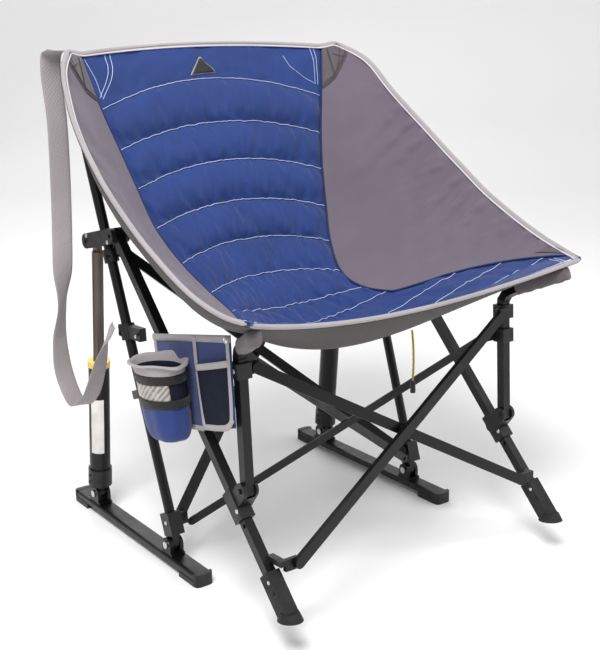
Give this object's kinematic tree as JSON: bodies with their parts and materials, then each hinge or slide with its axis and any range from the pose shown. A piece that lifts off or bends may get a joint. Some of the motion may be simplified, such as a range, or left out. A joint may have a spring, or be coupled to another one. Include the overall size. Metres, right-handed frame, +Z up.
{
  "type": "folding rocking camp chair",
  "caption": "Folding camp rocker: padded fabric pod seat on a crossed-bar steel frame that rocks on two ground rails against gas springs, with a side organiser.",
  "frame": {"origin": "middle of the footprint of the whole chair, on the ground plane under the two rails", "axes": "+Z up, the chair faces -Y, +X is to the right when looking at the chair from the front (the organiser hangs on the -X side)"},
  "size_m": [0.7956, 0.8041, 0.9414],
  "materials": {
    "black_steel": "satin powder coat",
    "black_plastic": "matte moulded",
    "rubber": "matte",
    "rivet_steel": "plated",
    "grey_chrome": "dark satin",
    "yellow_plastic": "matte",
    "label": "printed film, plain",
    "blue_cloth": "woven polyester",
    "grey_web": "woven webbing",
    "yellow_cord": "braided"
  },
  "bodies": {
    "rail_left_body": {"rail_left": "black_steel", "rail_left_cap_rear": "rubber", "rail_left_cap_front": "rubber", "clevis_left_front": "black_steel", "clevis_left_rear": "black_steel", "pin_left_front": "rivet_steel", "pin_left_rear": "rivet_steel"},
    "rail_right_body": {"rail_right": "black_steel", "rail_right_cap_rear": "rubber", "rail_right_cap_front": "rubber", "clevis_right_front": "black_steel", "clevis_right_rear": "black_steel", "pin_right_front": "rivet_steel", "pin_right_rear": "rivet_steel"},
    "frame": {"rear_hub_left": "black_plastic", "rear_upright_left": "black_steel", "upright_stop_left": "black_plastic", "upper_bracket_left": "black_plastic", "front_leg_left": "black_steel", "leg_hub_left": "black_plastic", "foot_left": "black_plastic", "front_post_left": "black_steel", "cross_bracket_left": "black_plastic", "rear_hub_right": "black_plastic", "rear_upright_right": "black_steel", "upright_stop_right": "black_plastic", "upper_bracket_right": "black_plastic", "front_leg_right": "black_steel", "leg_hub_right": "black_plastic", "foot_right": "black_plastic", "front_post_right": "black_steel", "cross_bracket_right": "black_plastic", "mid_bracket_left": "black_plastic", "strip_bracket_right": "black_plastic", "front_bar_outer": "black_steel", "front_bar_inner": "black_steel", "rear_bar_outer": "black_steel", "rear_bar_inner": "black_steel", "diagonal_strip_lower": "black_steel", "diagonal_strip_upper": "black_steel", "front_cross_rivet": "rivet_steel", "rear_cross_rivet": "rivet_steel", "pod_seat": "blue_cloth", "pouch_panel": "blue_cloth", "cup_holder": "blue_cloth", "shoulder_strap": "grey_web", "pull_cord": "yellow_cord", "pull_cord_toggle": "black_plastic"},
    "spring_left": {"spring_base_left": "black_plastic", "spring_tube_left": "grey_chrome", "spring_ring_left": "yellow_plastic", "spring_label_left": "label"},
    "spring_right": {"spring_base_right": "black_plastic", "spring_tube_right": "grey_chrome", "spring_ring_right": "yellow_plastic"},
    "rod_left": {"spring_rod_left": "grey_chrome"},
    "rod_right": {"spring_rod_right": "grey_chrome"}
  },
  "joints": [
    {"name": "rock", "type": "hinge", "parent": "rail_left_body", "child": "frame", "pos_m": [-0.293, 0.0145, 0.042], "axis": [-1, 0, 0], "range_deg": [-7, 8], "stiffness_Nm_per_rad": 300},
    {"name": "rail_right_pivot", "type": "hinge", "parent": "frame", "child": "rail_right_body", "pos_m": [0.293, 0.0145, 0.042], "axis": [-1, 0, 0], "range_deg": [-8.2, 7.2]},
    {"name": "spring_left_pivot", "type": "hinge", "parent": "rail_left_body", "child": "spring_left", "pos_m": [-0.293, 0.3129, 0.043], "axis": [-1, 0, 0], "range_deg": [-6.8, 7.8]},
    {"name": "spring_right_pivot", "type": "hinge", "parent": "rail_right_body", "child": "spring_right", "pos_m": [0.293, 0.3129, 0.043], "axis": [-1, 0, 0], "range_deg": [-6.8, 7.8]},
    {"name": "rod_left_slide", "type": "slide", "parent": "spring_left", "child": "rod_left", "axis": [0, -0.1064, 0.9943], "range_m": [-0.043, 0.038]},
    {"name": "rod_right_slide", "type": "slide", "parent": "spring_right", "child": "rod_right", "axis": [0, -0.1064, 0.9943], "range_m": [-0.043, 0.038]}
  ],
  "couplings": [
    {"joint": "rail_right_pivot", "follows": "rock", "ratio": -1},
    {"joint": "spring_left_pivot", "follows": "rock", "ratio": 0.948},
    {"joint": "spring_right_pivot", "follows": "rock", "ratio": 0.948},
    {"joint": "rod_left_slide", "follows": "rock", "m_per_rad": -0.2965},
    {"joint": "rod_right_slide", "follows": "rock", "m_per_rad": -0.2965}
  ]
}
